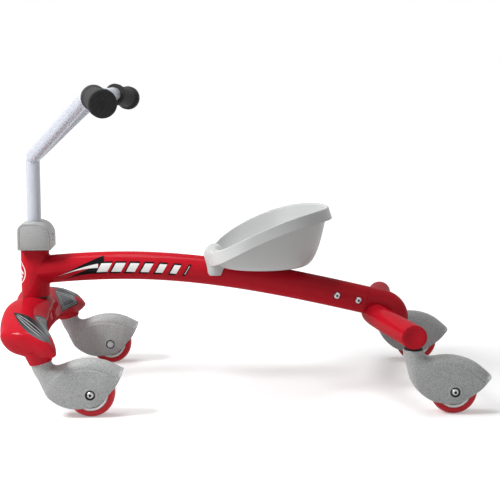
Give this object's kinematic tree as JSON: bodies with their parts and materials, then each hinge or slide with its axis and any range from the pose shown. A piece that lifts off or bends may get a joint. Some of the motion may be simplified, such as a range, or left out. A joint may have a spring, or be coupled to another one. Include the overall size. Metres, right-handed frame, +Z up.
{
  "type": "ride-on wiggle car",
  "caption": "Child's ride-on toy with an arched tube frame, steered front fork, sliding bucket seat, swivelling rear wheels and wide handlebar.",
  "frame": {"origin": "on the floor under the middle of the toy's box, half way between the front of the fork and the tails of the rear wheel housings", "axes": "+X to the rear of the toy, +Y to the rider's right, +Z up"},
  "size_m": [0.7934, 0.5114, 0.5242],
  "materials": {
    "frame_paint": "gloss red powder coat",
    "silver_paint": "satin silver powder coat",
    "red_plastic": "polished red moulding",
    "grey_plastic": "fine-textured silver-grey moulding",
    "seat_plastic": "satin light grey moulding",
    "red_urethane": "semi-gloss cast urethane",
    "white_nylon": "white moulding",
    "black_nylon": "black moulding",
    "black_rubber": "matt black",
    "zinc_steel": "bright zinc plate"
  },
  "bodies": {
    "frame": {"main_frame": "frame_paint", "upper_head_bush": "black_nylon", "lower_head_bush": "black_nylon", "rear_yoke": "frame_paint", "left_yoke_cap": "red_plastic", "right_yoke_cap": "red_plastic", "front_yoke_bolt": "zinc_steel", "rear_yoke_bolt": "zinc_steel", "front_yoke_nut": "zinc_steel", "rear_yoke_nut": "zinc_steel", "left_swivel_bush": "black_nylon", "right_swivel_bush": "black_nylon"},
    "steering": {"fork_cowl": "red_plastic", "steering_column": "zinc_steel", "crown_bolt": "zinc_steel", "collar": "grey_plastic", "left_collar_cover": "grey_plastic", "right_collar_cover": "grey_plastic", "stem_bolt": "zinc_steel", "stem_nut": "zinc_steel", "handlebar": "silver_paint", "left_grip": "black_rubber", "right_grip": "black_rubber", "left_fork_pin": "zinc_steel", "right_fork_pin": "zinc_steel", "left_front_wheel_housing": "grey_plastic", "right_front_wheel_housing": "grey_plastic", "left_front_axle_bolt": "zinc_steel", "right_front_axle_bolt": "zinc_steel", "left_front_axle_nut": "zinc_steel", "right_front_axle_nut": "zinc_steel"},
    "left_front_wheel": {"left_front_tyre": "red_urethane", "left_front_hub": "white_nylon", "left_front_bearings": "zinc_steel"},
    "right_front_wheel": {"right_front_tyre": "red_urethane", "right_front_hub": "white_nylon", "right_front_bearings": "zinc_steel"},
    "left_caster": {"left_rear_wheel_housing": "grey_plastic", "left_swivel_pin": "zinc_steel", "left_thrust_washer": "black_rubber", "left_rear_axle_bolt": "zinc_steel", "left_rear_axle_nut": "zinc_steel"},
    "right_caster": {"right_rear_wheel_housing": "grey_plastic", "right_swivel_pin": "zinc_steel", "right_thrust_washer": "black_rubber", "right_rear_axle_bolt": "zinc_steel", "right_rear_axle_nut": "zinc_steel"},
    "left_rear_wheel": {"left_rear_tyre": "red_urethane", "left_rear_hub": "white_nylon", "left_rear_bearings": "zinc_steel"},
    "right_rear_wheel": {"right_rear_tyre": "red_urethane", "right_rear_hub": "white_nylon", "right_rear_bearings": "zinc_steel"},
    "seat": {"seat_shell": "seat_plastic", "seat_bolt": "zinc_steel", "seat_clamp_plate": "zinc_steel"}
  },
  "joints": [
    {"name": "steering_turn", "type": "hinge", "parent": "frame", "child": "steering", "pos_m": [-0.3555, 0, 0.2], "axis": [0, 0, 1], "range_deg": [-45, 45]},
    {"name": "left_front_spin", "type": "hinge", "parent": "steering", "child": "left_front_wheel", "pos_m": [-0.2435, -0.17, 0.038], "axis": [0, 1, 0], "continuous": true},
    {"name": "right_front_spin", "type": "hinge", "parent": "steering", "child": "right_front_wheel", "pos_m": [-0.2435, 0.17, 0.038], "axis": [0, 1, 0], "continuous": true},
    {"name": "left_caster_swivel", "type": "hinge", "parent": "frame", "child": "left_caster", "pos_m": [0.2705, -0.17, 0.11], "axis": [0, 0, 1], "continuous": true},
    {"name": "right_caster_swivel", "type": "hinge", "parent": "frame", "child": "right_caster", "pos_m": [0.2705, 0.17, 0.11], "axis": [0, 0, 1], "continuous": true},
    {"name": "left_rear_spin", "type": "hinge", "parent": "left_caster", "child": "left_rear_wheel", "pos_m": [0.3355, -0.17, 0.038], "axis": [0, 1, 0], "continuous": true},
    {"name": "right_rear_spin", "type": "hinge", "parent": "right_caster", "child": "right_rear_wheel", "pos_m": [0.3355, 0.17, 0.038], "axis": [0, 1, 0], "continuous": true},
    {"name": "seat_slide", "type": "slide", "parent": "frame", "child": "seat", "axis": [0.9806, 0, -0.1962], "range_m": [0, 0.064]}
  ]
}
